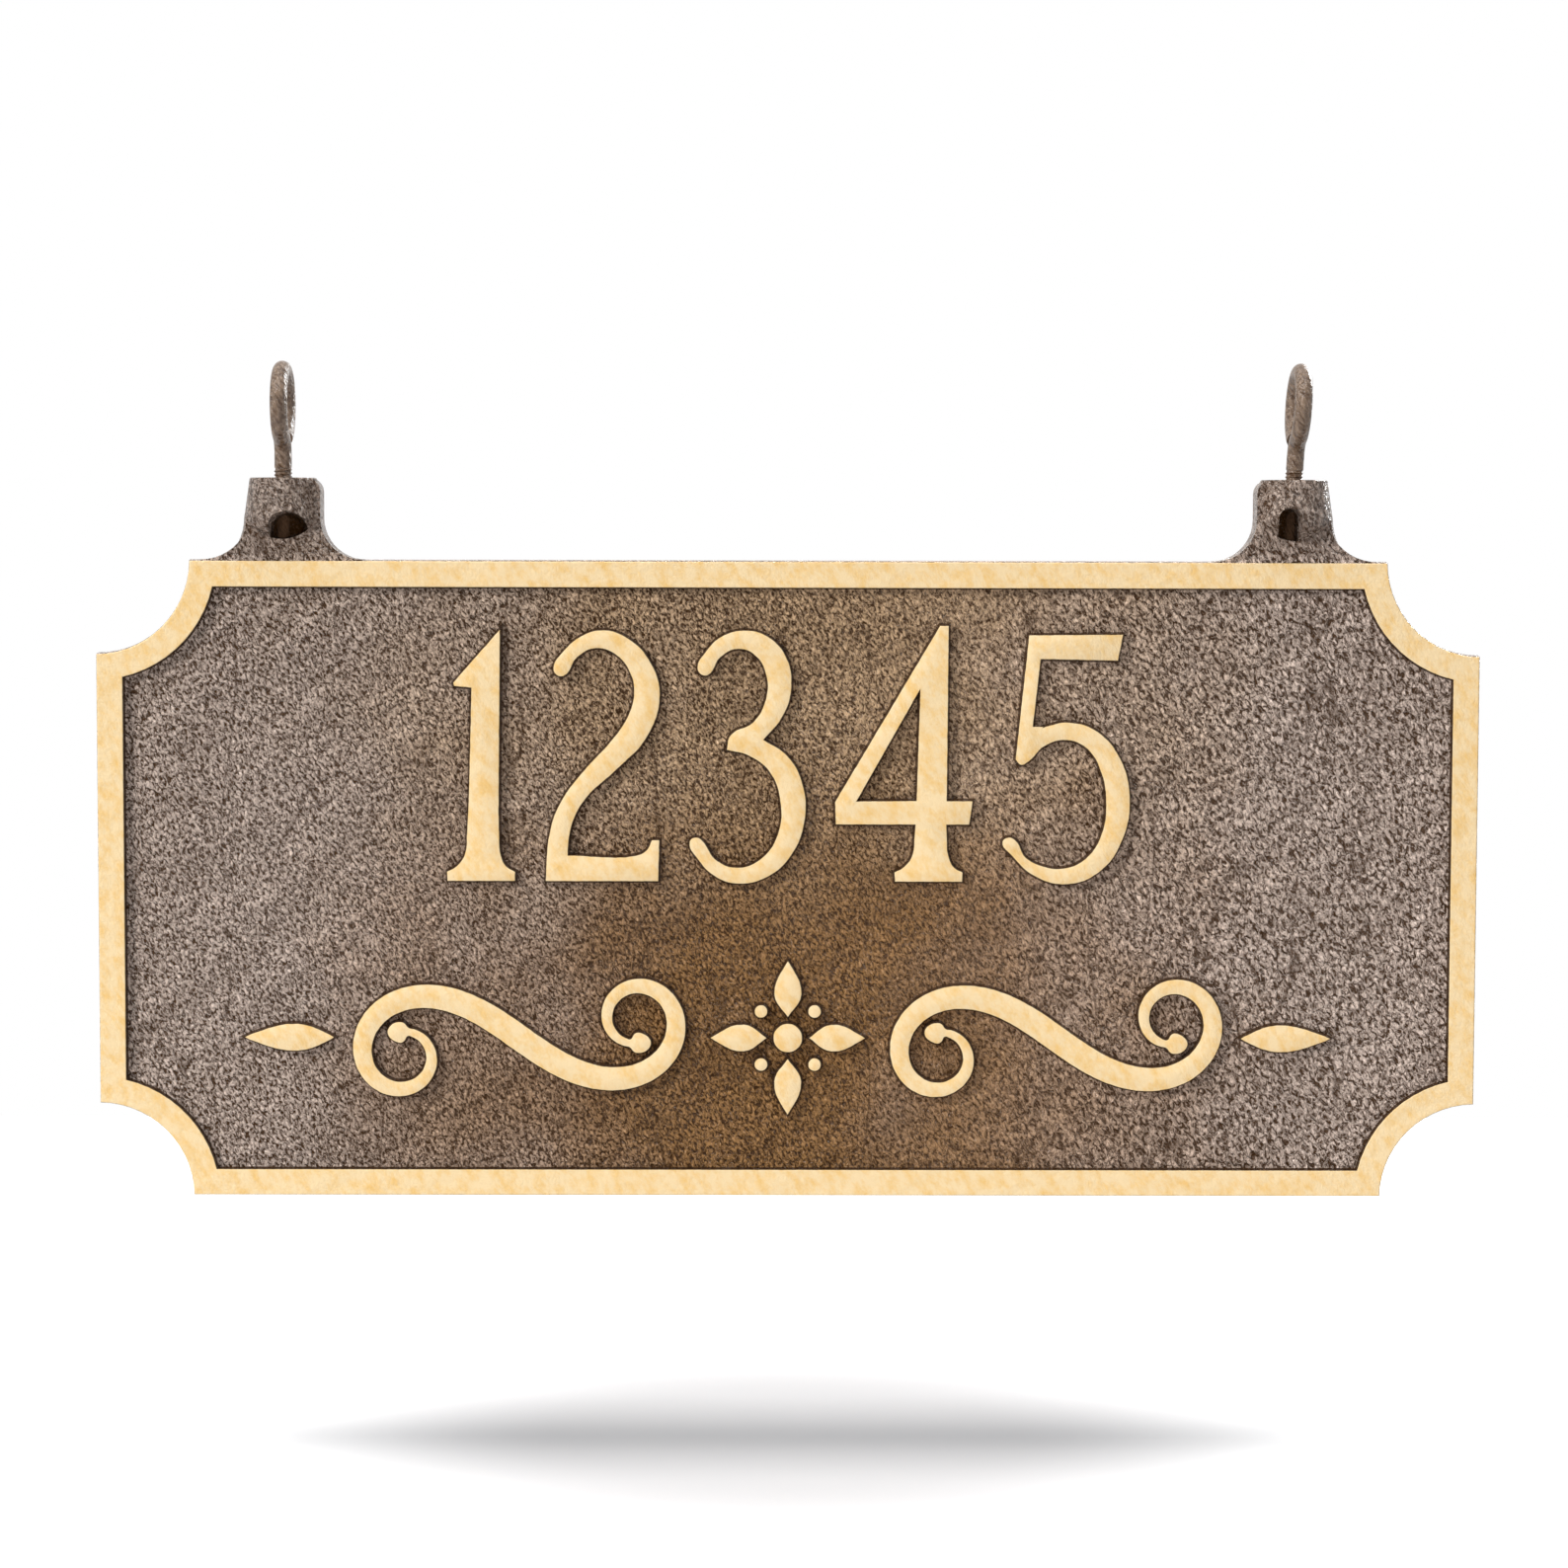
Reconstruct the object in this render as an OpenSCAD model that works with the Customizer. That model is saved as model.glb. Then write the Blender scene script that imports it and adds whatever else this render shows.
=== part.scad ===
// Two-sided hanging address sign: one casting with a raised border on both faces and two
// lugs on its top edge, and an eye bolt screwed into each lug.
// X runs along the sign, Y through its thickness and Z up. The origin is midway between
// the two points where the hooks bear on the eyes, so the sign hangs below it.

/* [Plate] */
// Length of the plate
plate_w = 400; // [280:1:520]
// Height of the plate
plate_h = 185; // [130:1:280]
// Thickness over both borders
plate_t = 11; // [9:0.5:18]
// Radius of the scooped corners
scoop_r = 27; // [15:0.5:40]
// Draft of the outer edge, away from the parting line, in degrees
edge_draft = 3; // [0:0.5:8]
// Round where the outer edge meets a face
edge_round = 0.45; // [0.1:0.05:1.2]

/* [Border and field] */
// Width of the border's flat face
border_w = 6.8; // [4:0.1:14]
// Depth of the field below the border
field_depth = 2.4; // [1:0.1:3.5]
// Draft of the wall between border and field, in degrees
wall_draft = 9; // [2:1:30]
// Round on the border's inner edge
border_round = 0.35; // [0.1:0.05:0.8]
// Fillet between wall and field
field_fillet = 0.5; // [0.1:0.05:0.9]

/* [Lugs] */
// Height of a lug above the plate
lug_rise = 23.5; // [19:0.5:40]
// Thickness of a lug where it stands on the plate
lug_t = 10; // [6:0.5:16]
// Plate edge left between a scooped corner and the foot of the lug
lug_inset = 3.6; // [0:0.1:20]
// Radius of the flare at the foot, towards the middle of the sign
flare_r = 12; // [6:0.5:18]
// Radius of the steeper flare towards the corner of the plate
outer_flare_r = 15.5; // [13:0.5:30]
// Radius of the low fillet at the end of the foot, towards the corner
toe_r = 14.5; // [8:0.5:24]
// Diameter of the boss at its top
boss_top_d = 19.4; // [15:0.2:30]
// Diameter of the boss at its widest, above the flare
boss_d = 22.6; // [19:0.2:34]
// Round between the side of the boss and its underside
chin_r = 3.5; // [2:0.5:5]
// Height of the underside's lowest point above the plate
chin_z = 5.9; // [4:0.1:8]
// Reach of the inner shoulder from the boss's axis
shoulder_x = 11.2; // [9:0.1:13]
// Round on the inner shoulder
shoulder_r = 4; // [1:0.5:6]

/* [Pockets under the bosses] */
// Width of the pockets in the left lug
left_pocket_w = 11; // [5:0.5:12]
// Top of the pockets in the left lug, above the plate
left_pocket_top = 13.6; // [12.5:0.1:17]
// Width of the pockets in the right lug
right_pocket_w = 6; // [5:0.5:12]
// Top of the pockets in the right lug, above the plate
right_pocket_top = 15.2; // [12.5:0.1:17]
// Shift of the pockets from the boss's axis towards the middle of the sign
pocket_shift = 2.2; // [0:0.1:3]
// Radius of the pockets' lower lip
lip_r = 12; // [10:0.5:20]
// Half thickness of the wall left between the two pockets of a lug
pocket_wall = 1.3; // [0.8:0.1:3]

/* [Eye bolts] */
// Diameter of the wire
wire_d = 5; // [3:0.1:8]
// Inside diameter of the eye
eye_d = 15; // [9:0.5:24]
// Bend between shank and eye, at the middle of the wire
bend_r = 5; // [3.5:0.5:10]
// Gap left at the end of the wire
tip_gap = 0.8; // [0.2:0.1:3]
// Plain shank between thread and bend
neck_h = 4.1; // [1:0.1:12]
// Thread left in view above the boss
thread_show = 2.9; // [0:0.1:8]
// Diameter at the root of the thread
thread_root_d = 4.6; // [3:0.1:7]
// Height of the shank's end above the plate
shank_foot = 4.5; // [2:0.5:9]
// Radial clearance between the shank and its hole
thread_gap = 0.05; // [0.02:0.01:0.3]
// Hole drilled on past the shank
drill_more = 1.5; // [0.5:0.5:4]
// Outward lean of the left eye bolt, in degrees
left_lean = 0; // [0:0.5:6]
// Outward lean of the right eye bolt, in degrees
right_lean = 3; // [0:0.5:6]

/* [Hidden] */
$fn = 96;

COAT = "#5f4d42";
BOLT_COAT = "#57483f";

arc_steps = 5;      // straight runs in the small rounds
slice_t = 0.02;     // thickness of the slices that a pocket is stretched over
pocket_flare = 0.5; // a pocket is this much wider all round where it leaves the boss
pocket_fillet = 0.8;
past = 1;           // cutters reach this far past what they cut
lug_sink = 3;       // a lug goes this far down into the plate's edge
boss_chamfer = 0.3;
shank_chamfer = 0.6;
draw_down = 0.01;   // the bend is drawn down by this much all round
lap_a = 1;          // the bend laps into the eye by this angle

half_t = plate_t / 2;
edge_set = half_t * tan(edge_draft);
border_set = edge_set + edge_round + border_w;
wall_h = field_depth - border_round - field_fillet;
wall_set = border_round + wall_h * tan(wall_draft);

eye_r = (eye_d + wire_d) / 2;
bend_rise = sqrt(eye_r * eye_r + 2 * eye_r * bend_r);
bend_a = atan2(bend_rise, bend_r);
tip_a = asin((bend_r + wire_d / 2 + tip_gap) / (eye_r + bend_r));
bend_z = thread_show + neck_h;
eye_z = bend_z + bend_rise;

boss_r = boss_d / 2;
flare_x = boss_r + flare_r;
boss_z = -eye_d / 2 - eye_z;
edge_z = boss_z - lug_rise;
plate_z = edge_z - plate_h / 2;
lug_x = plate_w / 2 - scoop_r - lug_inset - flare_x;

function arc(c, r, a, b) =
    [for (i = [0:arc_steps]) let (t = a + (b - a) * i / arc_steps) c + r * [cos(t), sin(t)]];

function flip(points, x, y) = [for (p = points) [p.x * x, p.y * y]];

function reversed(points) = [for (i = [len(points) - 1:-1:0]) points[i]];

// How far the outer edge stands back from its widest line, at each height above that line
function edge_steps() = concat([[0, 0]], flip(arc([-edge_set - edge_round, half_t - edge_round],
                                                  edge_round, 0, 90), -1, 1));

// How far the wall has come in from the border's flat face, from that face down to the field
function wall_steps() = concat(
    flip(arc([0, half_t - border_round], border_round, 90, 180), -1, 1),
    flip(arc([-wall_set - field_fillet, half_t - field_depth + field_fillet],
             field_fillet, 0, -90), -1, 1));

// Section through the whole plate, whose widest line is half_w from the middle
module plate_section(half_w) {
    quarter = [for (s = edge_steps()) [half_w - s.x, s.y]];
    half = concat(quarter, reversed(flip(quarter, -1, 1)));
    polygon(concat(half, reversed([for (i = [1:len(half) - 2]) [half[i].x, -half[i].y]])));
}

// Section through one field, for a plate of that half width
module field_section(half_w) {
    side = [for (s = wall_steps()) [half_w - border_set - s.x, s.y]];
    top = side[0];
    polygon(concat([[-top.x, half_t + past], [top.x, half_t + past]], side,
                   reversed(flip(side, -1, 1))));
}

// Turns a section drawn in X and Y into a bar that lies along Z, or along X
module along_z(length) {
    translate([0, 0, -length / 2]) linear_extrude(length) children();
}

module along_x(length) {
    rotate([0, 90, 0]) along_z(length) children();
}

// Puts a shape that turns about Z at each corner of the plate, turning about Y
module at_corners() {
    for (x = [-1, 1], z = [-1, 1])
        translate([x * plate_w / 2, 0, z * plate_h / 2]) rotate([-90, 0, 0]) children();
}

// What is scooped out of a corner through the whole thickness
module scoop() {
    upper = [for (s = edge_steps()) [scoop_r + s.x, s.y]];
    lower = reversed([for (i = [1:len(upper) - 1]) [upper[i].x, -upper[i].y]]);
    rim = upper[len(upper) - 1].x;
    rotate_extrude() polygon(concat([[0, -half_t - past], [rim, -half_t - past]], lower, upper,
                                    [[rim, half_t + past], [0, half_t + past]]));
}

// The round corner of the border, which stands in the corner of a field
module border_corner() {
    wall = [for (s = wall_steps()) [scoop_r + border_set + s.x, s.y]];
    foot = wall[len(wall) - 1];
    rotate_extrude() polygon(concat([[0, half_t + 2 * past], [wall[0].x, half_t + 2 * past]],
                                    wall, [[foot.x, foot.y - past], [0, foot.y - past]]));
}

module field() {
    difference() {
        intersection() {
            along_z(plate_h) field_section(plate_w / 2);
            along_x(plate_w) field_section(plate_h / 2);
        }
        at_corners() border_corner();
    }
}

module plate() {
    difference() {
        intersection() {
            along_z(plate_h) plate_section(plate_w / 2);
            along_x(plate_w) plate_section(plate_h / 2);
        }
        at_corners() scoop();
        field();
        mirror([0, 1, 0]) field();
    }
}

// Outline of a flare on one side of the boss's axis, hollowed by a round that has its middle
// at x and z
module flare_side(reach, x, z, r) {
    difference() {
        translate([0, -lug_sink]) square([reach, lug_sink + z]);
        translate([x, z]) circle(r = r);
    }
}

// Flat web of a lug, no thicker than the plate. It flares out at its foot on both sides, and
// runs up the side of the boss towards the middle of the sign to a rounded shoulder.
module lug_web() {
    rotate([90, 0, 0]) along_z(lug_t) {
        flare_side(shoulder_x + flare_r, shoulder_x + flare_r, flare_r, flare_r);
        mirror([1, 0]) flare_side(flare_x, flare_x, toe_r, toe_r);
        polygon(concat([[0, 0], [shoulder_x, flare_r]],
                       arc([shoulder_x - shoulder_r, lug_rise - shoulder_r], shoulder_r, 0, 90),
                       [[0, lug_rise]]));
    }
}

// Steeper flare on the other side of a lug, which flows down out of the round boss
module lug_flare() {
    middle = boss_r + outer_flare_r;
    reach = middle - sqrt(outer_flare_r * outer_flare_r - flare_r * flare_r);
    intersection() {
        rotate_extrude() flare_side(reach, middle, flare_r, outer_flare_r);
        translate([-reach - past, -lug_t / 2, -lug_sink])
            cube([reach + past, lug_t, lug_sink + flare_r]);
    }
}

// Round boss that carries the thread, tapered to its top, with an underside that slopes in to
// the faces of the web
module lug_boss() {
    chin = [boss_r - chin_r, flare_r];
    seat = [lug_t / 2, chin_z];
    reach = chin - seat;
    under_a = atan2(reach.y, -reach.x) - acos(chin_r / norm(reach));
    top_r = boss_top_d / 2;
    rotate_extrude() polygon(concat(
        [[0, lug_rise], [top_r - boss_chamfer, lug_rise], [top_r, lug_rise - boss_chamfer]],
        arc(chin, chin_r, 0, -under_a),
        [[0, seat.y - seat.x / tan(under_a)]]));
}

// One slice through a pocket: round at its top, and closed below by the arc of its lip
module pocket_slice(y, w, top, grow) {
    r = w / 2 + grow;
    translate([0, y, 0]) rotate([90, 0, 0]) linear_extrude(slice_t) intersection() {
        translate([0, chin_z - grow / 2 + lip_r]) circle(r = lip_r, $fn = 64);
        translate([pocket_shift, 0]) {
            translate([0, top - w / 2]) circle(r = r, $fn = 64);
            translate([-r, 0]) square([2 * r, top - w / 2]);
        }
    }
}

// Scooped pocket in the front of a lug, narrower towards the wall behind it
module pocket(w, top) {
    hull() {
        pocket_slice(-boss_r - past, w, top, pocket_flare);
        pocket_slice((slice_t - lug_t) / 2, w, top, 0);
        pocket_slice(-pocket_wall - pocket_fillet, w, top, -pocket_fillet);
        pocket_slice(-pocket_wall, w, top, -2 * pocket_fillet);
    }
}

// Hole for the shank, drilled down from the top of the boss
module shank_hole(lean) {
    depth = lug_rise - shank_foot + drill_more;
    translate([0, 0, lug_rise]) rotate([0, -lean, 0]) translate([0, 0, -depth])
        cylinder(d = thread_root_d + 2 * thread_gap, h = depth + past);
}

// A lug standing at the origin, with the middle of the sign towards +X
module lug(pocket_w, pocket_top, lean) {
    difference() {
        union() {
            lug_web();
            lug_flare();
            lug_boss();
        }
        pocket(pocket_w, pocket_top);
        mirror([0, 1, 0]) pocket(pocket_w, pocket_top);
        shank_hole(lean);
    }
}

module sign_casting() {
    color(COAT) union() {
        translate([0, 0, plate_z]) plate();
        translate([-lug_x, 0, edge_z]) lug(left_pocket_w, left_pocket_top, left_lean);
        translate([lug_x, 0, edge_z]) mirror([1, 0, 0])
            lug(right_pocket_w, right_pocket_top, right_lean);
    }
}

// A stretch of wire bent in the plane of Y and Z, from one angle to another
module wire_arc(y, z, r, d, from, to) {
    translate([0, y, z]) rotate([90, 0, 90])
        rotate_extrude(angle = to - from, start = from) translate([r, 0]) circle(d = d);
}

// Bolt bent from one wire, standing on the origin where it enters the boss
module eye_bolt() {
    shank_in = lug_rise - shank_foot;
    end_r = thread_root_d / 2;
    translate([0, 0, -shank_in]) rotate_extrude() polygon([
        [0, 0], [end_r - shank_chamfer, 0], [end_r, shank_chamfer],
        [end_r, shank_in + thread_show], [0, shank_in + thread_show]]);
    translate([0, 0, thread_show]) cylinder(d = wire_d, h = neck_h);
    wire_arc(-bend_r, bend_z, bend_r, wire_d - 2 * draw_down, 0, bend_a + lap_a);
    wire_arc(0, eye_z, eye_r, wire_d, bend_a + tip_a - 180, bend_a + 180);
}

module left_eye_bolt() {
    color(BOLT_COAT) translate([-lug_x, 0, boss_z]) rotate([0, -left_lean, 0]) eye_bolt();
}

module right_eye_bolt() {
    color(BOLT_COAT) translate([lug_x, 0, boss_z]) rotate([0, right_lean, 0]) eye_bolt();
}

sign_casting();
left_eye_bolt();
right_eye_bolt();
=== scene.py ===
import math

import bmesh
import bpy
from bpy.props import FloatProperty, FloatVectorProperty, IntProperty, PointerProperty
from bpy.types import Operator, Panel, PropertyGroup
from mathutils import Matrix, Vector


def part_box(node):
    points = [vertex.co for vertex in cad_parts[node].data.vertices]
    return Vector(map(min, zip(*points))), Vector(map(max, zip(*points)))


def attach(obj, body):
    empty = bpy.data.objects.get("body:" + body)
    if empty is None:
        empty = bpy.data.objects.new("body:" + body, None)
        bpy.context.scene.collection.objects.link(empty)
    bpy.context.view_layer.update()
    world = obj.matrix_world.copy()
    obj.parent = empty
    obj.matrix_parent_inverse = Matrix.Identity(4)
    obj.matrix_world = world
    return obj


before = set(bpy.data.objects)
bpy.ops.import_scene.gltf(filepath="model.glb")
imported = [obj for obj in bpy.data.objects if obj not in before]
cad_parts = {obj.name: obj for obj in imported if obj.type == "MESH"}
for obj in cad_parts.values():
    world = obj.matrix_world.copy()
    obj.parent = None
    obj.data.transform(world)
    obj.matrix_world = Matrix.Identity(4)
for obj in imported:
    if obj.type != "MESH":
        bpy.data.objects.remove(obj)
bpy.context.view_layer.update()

bl_info = {
    "name": "Hanging Address Sign",
    "version": (1, 0, 0),
    "blender": (4, 5, 0),
    "location": "View3D > Sidebar > Sign",
    "description": "Finish, numerals, ornament and bolt threads for a cast two-sided hanging sign",
    "category": "Object",
}

MM = 0.001
HAIR = 0.01 * MM  # finer than any step in a shape

# The faces with raised shapes, and how far each is turned about Z
SIDES = {"front": 0.0, "back": math.pi}

# Sizes that the casting already has, read off its box or repeated from its drawing
CASTING_LOW, CASTING_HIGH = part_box("sign_casting")
LUG_RISE = 23.5 * MM
FIELD_Y = 3.1 * MM
FACE_Y = 5.5 * MM
PLATE_TOP = CASTING_HIGH.z - LUG_RISE
PLATE_MID = Vector((0, 0, (PLATE_TOP + CASTING_LOW.z) / 2))
HALF_W = CASTING_HIGH.x
HALF_H = PLATE_TOP - PLATE_MID.z
CORNER_R = 27 * MM
BORDER_W = 7.5 * MM  # from the plate's outline to the foot of the border's inner wall
POCKET_SHIFT = 2.2 * MM  # from a boss's axis to the middle of the pockets under it

# Where each eye bolt enters its boss, and how far it leans out
BOSS_X = 146.1 * MM
BOLT_LEANS = {"left": (-BOSS_X, 0.0), "right": (BOSS_X, math.radians(3))}

# Height in millimetres at which the outlines of the numerals are drawn
NUMERAL_HEIGHT = 74.3


def linear(code):
    """Turns an sRGB hex colour into the linear red, green and blue that the nodes work in."""
    parts = [int(code[i:i + 2], 16) / 255 for i in (1, 3, 5)]
    return [p / 12.92 if p <= 0.04045 else ((p + 0.055) / 1.055) ** 2.4 for p in parts]


# Settings

class SignNumerals(PropertyGroup):
    height: FloatProperty(
        name="Height", description="Height of the numerals",
        default=NUMERAL_HEIGHT * MM, unit="LENGTH", subtype="DISTANCE")
    baseline: FloatProperty(
        name="Baseline", description="Foot of the numerals, above the middle of the plate",
        default=-0.4 * MM, unit="LENGTH", subtype="DISTANCE")
    gap: FloatProperty(
        name="Gap", description="Space between neighbouring numerals",
        default=8.6 * MM, unit="LENGTH", subtype="DISTANCE")


class SignRelief(PropertyGroup):
    face: FloatProperty(
        name="Face", description="Distance of the raised faces from the middle of the plate",
        default=5.45 * MM, unit="LENGTH", subtype="DISTANCE")
    sink: FloatProperty(
        name="Sink", description="How far the raised shapes reach into the field",
        default=0.3 * MM, unit="LENGTH", subtype="DISTANCE")
    draft: FloatProperty(
        name="Draft", description="Width of the sloping wall round a raised shape",
        default=0.7 * MM, unit="LENGTH", subtype="DISTANCE")
    rounding: FloatProperty(
        name="Rounding", description="Round on the upper edge of a raised shape",
        default=0.3 * MM, unit="LENGTH", subtype="DISTANCE")


class SignOrnament(PropertyGroup):
    middle: FloatProperty(
        name="Middle", description="Middle of the ornament, below the middle of the plate",
        default=46 * MM, unit="LENGTH", subtype="DISTANCE")
    scroll_size: FloatProperty(
        name="Scroll size", description="Half the length of the band that curls into a scroll",
        default=106 * MM, unit="LENGTH", subtype="DISTANCE")
    scroll_width: FloatProperty(
        name="Scroll width", description="Width of a scroll's band at its middle",
        default=7.6 * MM, unit="LENGTH", subtype="DISTANCE")
    ball: FloatProperty(
        name="Ball", description="Radius of the ball at each end of a scroll",
        default=3.1 * MM, unit="LENGTH", subtype="DISTANCE")


class SignThreads(PropertyGroup):
    outer_d: FloatProperty(
        name="Outer diameter", description="Diameter over the crests of the thread",
        default=5.2 * MM, unit="LENGTH", subtype="DISTANCE")
    root_d: FloatProperty(
        name="Root diameter", description="Diameter at the root of the thread",
        default=4.5 * MM, unit="LENGTH", subtype="DISTANCE")
    pitch: FloatProperty(
        name="Pitch", description="Distance from one crest to the next",
        default=1.06 * MM, unit="LENGTH", subtype="DISTANCE")
    show: FloatProperty(
        name="In view", description="Length of thread above the boss",
        default=2.9 * MM, unit="LENGTH", subtype="DISTANCE")
    steps: IntProperty(
        name="Steps", description="Steps in one turn of the thread", default=32, min=12)


class SignFinish(PropertyGroup):
    coat: FloatVectorProperty(
        name="Coat", description="Bronze-brown enamel over the casting",
        default=linear("#e3be95"), subtype="COLOR", size=3)
    # Painted shade: the darker coat low in the middle, where less light falls from above
    coat_in_painted_shade: FloatVectorProperty(
        name="Deep coat", description="The enamel low in the middle, where it is darkest",
        default=linear("#b68855"), subtype="COLOR", size=3)
    # Painted sheen: the paler, greyer coat that stands for the soft boxes' sheen towards both ends
    coat_painted_sheen: FloatVectorProperty(
        name="Rubbed coat", description="The enamel where it is rubbed greyer, towards the ends",
        default=linear("#ecd6c7"), subtype="COLOR", size=3)
    # The darker coat: the enamel's own in the grain's valleys, the seams, the bolts' drawing marks and
    # where it lies thick on the walls; painted shade on the walls too, on the lugs, in the folds' troughs,
    # in the pockets and on the bolts in their holes
    dark_coat_and_painted_shade: FloatVectorProperty(
        name="Coat in the hollows", description="The same enamel where it lies thick or in shade",
        default=linear("#482d11"), subtype="COLOR", size=3)
    gold: FloatVectorProperty(
        name="Gold", description="Gold paint on the raised faces",
        default=linear("#efd5a6"), subtype="COLOR", size=3)
    gold_worn: FloatVectorProperty(
        name="Thin gold", description="Gold paint where it is thin",
        default=linear("#e9c078"), subtype="COLOR", size=3)
    bolt: FloatVectorProperty(
        name="Bolt", description="Brown enamel on the eye bolts",
        default=linear("#846d58"), subtype="COLOR", size=3)
    grain: FloatProperty(
        name="Grain", description="Size of one grain of the cast surface",
        default=1.0 * MM, unit="LENGTH", subtype="DISTANCE")


class SignStage(PropertyGroup):
    lens: FloatProperty(
        name="Lens", description="Focal length of the camera", default=87.09, unit="CAMERA")
    distance: FloatProperty(
        name="Distance", description="From the camera to the middle of the sign's thickness",
        default=1.1, unit="LENGTH", subtype="DISTANCE")
    floor_drop: FloatProperty(
        name="Floor drop", description="From the plate's lower edge to the floor",
        default=72.2 * MM, unit="LENGTH", subtype="DISTANCE")


SETTINGS = {
    "sign_numerals": SignNumerals,
    "sign_relief": SignRelief,
    "sign_ornament": SignOrnament,
    "sign_threads": SignThreads,
    "sign_finish": SignFinish,
    "sign_stage": SignStage,
}


# Materials

def add(tree, kind, inputs=None, **settings):
    """Adds a node with its settings. An input given as a socket is linked, any other value is set."""
    node = tree.nodes.new("ShaderNode" + kind)
    for name, value in settings.items():
        setattr(node, name, value)
    for key, value in (inputs or {}).items():
        if isinstance(value, bpy.types.NodeSocket):
            tree.links.new(value, node.inputs[key])
        else:
            node.inputs[key].default_value = value
    return node


def new_material(name):
    """An empty node material and its tree."""
    material = bpy.data.materials.new(name)
    material.use_nodes = True
    tree = material.node_tree
    tree.nodes.clear()
    return material, tree


def rgba(colour):
    return (*colour, 1)


def sand_grain(tree, leaned, axes, size):
    """Leathery grain: short worms that lean to the left, and broader plateaus towards the right."""
    right = add(tree, "MapRange", {"Value": axes["X"], "From Min": -20 * MM, "From Max": 120 * MM},
                interpolation_type="SMOOTHSTEP").outputs[0]
    fine = add(tree, "TexNoise", {"Vector": leaned, "Scale": 1 / (0.8 * size), "Detail": 2.0,
                                  "Roughness": 0.7, "Distortion": 0.6}).outputs["Fac"]
    broad = add(tree, "TexNoise", {"Vector": leaned, "Scale": 1 / (1.05 * size), "Detail": 2.0,
                                   "Roughness": 0.7, "Distortion": 0.8}).outputs["Fac"]
    return add(tree, "Mix", {"Factor": right, "A": fine, "B": broad}).outputs["Result"]


def frozen_folds(tree, place):
    """Folds that the metal froze into: long low waves that rise to the right."""
    swept = add(tree, "Mapping", {"Vector": place, "Rotation": (0, math.radians(58), 0),
                                  "Scale": (1.0, 1.0, 4.5)}, vector_type="TEXTURE").outputs[0]
    return add(tree, "TexNoise", {"Vector": swept, "Scale": 1 / (9 * MM), "Detail": 2.0,
                                  "Distortion": 0.6}).outputs["Fac"]


def flow_seams(tree, place):
    """Thin dark lines where the flowing metal met, most of them near upright."""
    upright = add(tree, "Mapping", {"Vector": place, "Rotation": (0, math.radians(8), 0),
                                    "Scale": (1.0, 1.0, 5.0)}, vector_type="TEXTURE").outputs[0]
    flow = add(tree, "TexNoise", {"Vector": upright, "Scale": 1 / (24 * MM), "Detail": 2.0,
                                  "Roughness": 0.4}).outputs["Fac"]
    met = add(tree, "Math", {0: flow, 1: 0.5}, operation="SUBTRACT").outputs[0]
    met = add(tree, "Math", {0: met}, operation="ABSOLUTE").outputs[0]
    return add(tree, "MapRange", {"Value": met, "From Min": 0.0, "From Max": 0.007, "To Min": 0.45},
               interpolation_type="SMOOTHSTEP").outputs[0]


def rolled_faces(tree, place, axes, depth):
    """One where the gold roller touched: level faces of the border, numerals and ornament."""
    edge = add(tree, "TexNoise", {"Vector": place, "Scale": 1 / (2.5 * MM), "Detail": 2.0}).outputs["Fac"]
    line = add(tree, "Math", {0: edge, 1: 0.12 * MM, 2: FACE_Y - 0.22 * MM},
               operation="MULTIPLY_ADD").outputs[0]
    above = add(tree, "Math", {0: depth, 1: line}, operation="SUBTRACT").outputs[0]
    on_plate = add(tree, "Math", {0: axes["Z"], 1: PLATE_TOP - 0.05 * MM},
                   operation="LESS_THAN").outputs[0]
    gold_edge = add(tree, "MapRange", {"Value": above, "From Min": 0.0, "From Max": 0.06 * MM},
                    interpolation_type="SMOOTHSTEP").outputs[0]
    return add(tree, "Math", {0: gold_edge, 1: on_plate}, operation="MULTIPLY").outputs[0]


def coat_on_crests(tree, place, axes, out):
    """Colour of the enamel on the grain's crests: painted sheen makes it paler and greyer towards both
    ends, and painted shade makes it deep low down.
    """
    finish = bpy.context.scene.sign_finish
    cloud = add(tree, "TexNoise", {"Vector": place, "Scale": 1 / (45 * MM), "Detail": 3.0}).outputs["Fac"]
    reach = add(tree, "Math", {0: cloud, 1: 120 * MM, 2: out}, operation="MULTIPLY_ADD").outputs[0]
    # Painted sheen: share of the paler coat, rising towards both ends
    ends = add(tree, "MapRange", {"Value": reach, "From Min": 75 * MM, "From Max": 225 * MM},
               interpolation_type="SMOOTHSTEP").outputs[0]
    # Painted shade: share of the darker coat, rising towards the bottom
    sunk = add(tree, "Math", {0: cloud, 1: 60 * MM, 2: axes["Z"]}, operation="MULTIPLY_ADD").outputs[0]
    low = add(tree, "MapRange", {"Value": sunk, "From Min": PLATE_MID.z + 70 * MM,
                                 "From Max": PLATE_MID.z + 10 * MM},
              interpolation_type="SMOOTHSTEP").outputs[0]
    middle = add(tree, "Mix", {"Factor": low, "A": rgba(finish.coat), "B": rgba(finish.coat_in_painted_shade)},
                 data_type="RGBA").outputs["Result"]
    return add(tree, "Mix", {"Factor": ends, "A": middle, "B": rgba(finish.coat_painted_sheen)},
               data_type="RGBA").outputs["Result"]


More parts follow.
